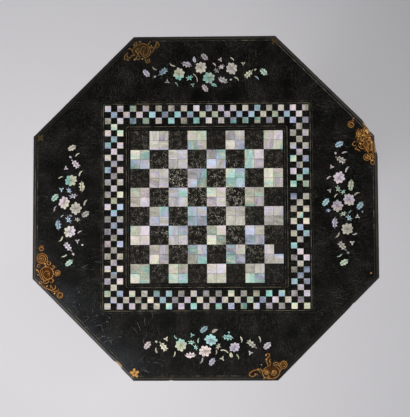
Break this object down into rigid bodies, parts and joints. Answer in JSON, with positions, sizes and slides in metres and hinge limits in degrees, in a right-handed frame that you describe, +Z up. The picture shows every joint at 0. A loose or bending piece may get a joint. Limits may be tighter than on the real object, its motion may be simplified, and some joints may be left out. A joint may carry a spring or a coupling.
{
  "type": "tilt-top chess table",
  "caption": "Octagonal black-lacquer chess table with a mother-of-pearl inlaid board on a tilting top, locked by a sliding bolt, on a turned tripod pedestal.",
  "frame": {"origin": "floor level, under the middle of the octagonal top", "axes": "+Z up, +X to the right and +Y away from a player who sits on the bolt's side"},
  "size_m": [0.58, 0.58, 0.72],
  "materials": {
    "core_wood": "matt",
    "lacquered_wood": "gloss",
    "black_lacquer": "gloss",
    "mother_of_pearl": "satin",
    "brass": "satin",
    "iron": "matt",
    "steel": "satin"
  },
  "bodies": {
    "pedestal": {"tilt_block": "lacquered_wood", "pivot_pins": "iron", "keeper_plate": "brass", "keeper_screws": "brass", "column_capital": "lacquered_wood", "column_shaft": "lacquered_wood", "tenon_wedge": "core_wood", "leg_hub": "lacquered_wood", "leg_rear": "lacquered_wood", "leg_front_left": "lacquered_wood", "leg_front_right": "lacquered_wood", "spider_plate": "iron", "spider_screws": "steel"},
    "top": {"core_boards": "core_wood", "core_dowels": "core_wood", "edge_lipping": "lacquered_wood", "lacquer_face": "black_lacquer", "board_tiles": "mother_of_pearl", "border_tiles": "mother_of_pearl", "spray_top": "mother_of_pearl", "spray_right": "mother_of_pearl", "spray_bottom": "mother_of_pearl", "spray_left": "mother_of_pearl", "left_bearer": "lacquered_wood", "right_bearer": "lacquered_wood", "bearer_screws": "steel", "bolt_plate": "brass", "bolt_guides": "brass", "bolt_leaf_spring": "steel", "bolt_screws": "brass"},
    "bolt": {"slide_bolt": "brass", "bolt_knob": "brass"}
  },
  "joints": [
    {"name": "top_tilt", "type": "hinge", "parent": "pedestal", "child": "top", "pos_m": [0, 0.0813, 0.686], "axis": [-1, 0, 0], "range_deg": [0, 90]},
    {"name": "bolt_slide", "type": "slide", "parent": "top", "child": "bolt", "axis": [0, 1, 0], "range_m": [0, 0.009]}
  ]
}
